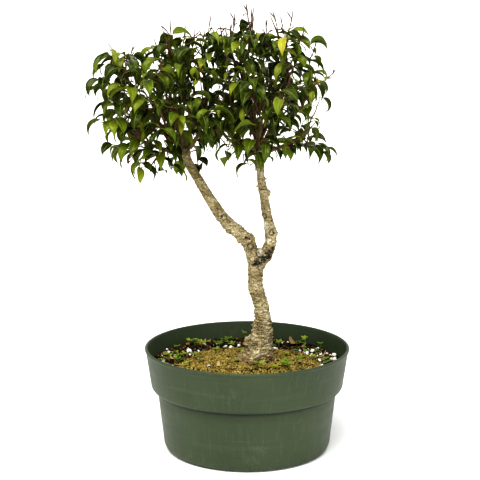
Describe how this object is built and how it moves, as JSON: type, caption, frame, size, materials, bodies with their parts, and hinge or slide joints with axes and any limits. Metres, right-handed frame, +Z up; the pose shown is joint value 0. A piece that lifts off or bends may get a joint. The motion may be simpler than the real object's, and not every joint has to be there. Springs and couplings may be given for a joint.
{
  "type": "bonsai tree in a pot",
  "caption": "Small fig tree with a forked trunk, two leafy domes on its limbs and a flared root base, planted in a round stepped nursery pot of soil under a granule mound.",
  "frame": {"origin": "centre of the pot's underside, on the surface it stands on", "axes": "+Z up along the pot's axis; the tree's front, from which both limbs are seen side by side, faces -Y; the leaning limb goes towards -X"},
  "size_m": [0.3156, 0.254, 0.5441],
  "materials": {
    "pot_plastic": "dark green injection-moulded plastic, satin, lightly scuffed",
    "soil": "damp dark peat with bark chips and perlite",
    "granules": "tan fired-clay granules, matt and dusty",
    "trunk_bark": "pale grey-tan bark with horizontal wrinkles and dark specks",
    "branch_bark": "red-brown young bark",
    "foliage": "glossy dark green leaves on brown twigs",
    "seedlings": "soft bright green seedlings",
    "perlite": "chalky white expanded mineral"
  },
  "bodies": {
    "root": {"branch_left_back": "branch_bark", "branch_left_front": "branch_bark", "branch_left_inner": "branch_bark", "branch_left_leader": "branch_bark", "branch_left_outer_high": "branch_bark", "branch_left_outer_low": "branch_bark", "branch_right_back": "branch_bark", "branch_right_front": "branch_bark", "branch_right_inner_low": "branch_bark", "branch_right_leader": "branch_bark", "branch_right_outer_low": "branch_bark", "branch_right_upright": "branch_bark", "granule_mound": "granules", "leafy_twig_left_01": "foliage", "leafy_twig_left_02": "foliage", "leafy_twig_left_03": "foliage", "leafy_twig_left_04": "foliage", "leafy_twig_left_05": "foliage", "leafy_twig_left_06": "foliage", "leafy_twig_left_07": "foliage", "leafy_twig_left_08": "foliage", "leafy_twig_left_09": "foliage", "leafy_twig_left_10": "foliage", "leafy_twig_left_11": "foliage", "leafy_twig_left_12": "foliage", "leafy_twig_left_13": "foliage", "leafy_twig_left_14": "foliage", "leafy_twig_left_15": "foliage", "leafy_twig_left_16": "foliage", "leafy_twig_left_17": "foliage", "leafy_twig_left_18": "foliage", "leafy_twig_right_01": "foliage", "leafy_twig_right_02": "foliage", "leafy_twig_right_03": "foliage", "leafy_twig_right_04": "foliage", "leafy_twig_right_05": "foliage", "leafy_twig_right_06": "foliage", "leafy_twig_right_07": "foliage", "leafy_twig_right_08": "foliage", "leafy_twig_right_09": "foliage", "leafy_twig_right_10": "foliage", "leafy_twig_right_11": "foliage", "leafy_twig_right_12": "foliage", "leafy_twig_right_13": "foliage", "leafy_twig_right_14": "foliage", "leafy_twig_right_15": "foliage", "leafy_twig_right_16": "foliage", "leafy_twig_right_17": "foliage", "leafy_twig_right_18": "foliage", "perlite_1": "perlite", "perlite_2": "perlite", "perlite_3": "perlite", "perlite_4": "perlite", "pot": "pot_plastic", "potting_soil": "soil", "seedling_1": "seedlings", "seedling_2": "seedlings", "seedling_3": "seedlings", "seedling_4": "seedlings", "trunk": "trunk_bark"}
  },
  "joints": []
}
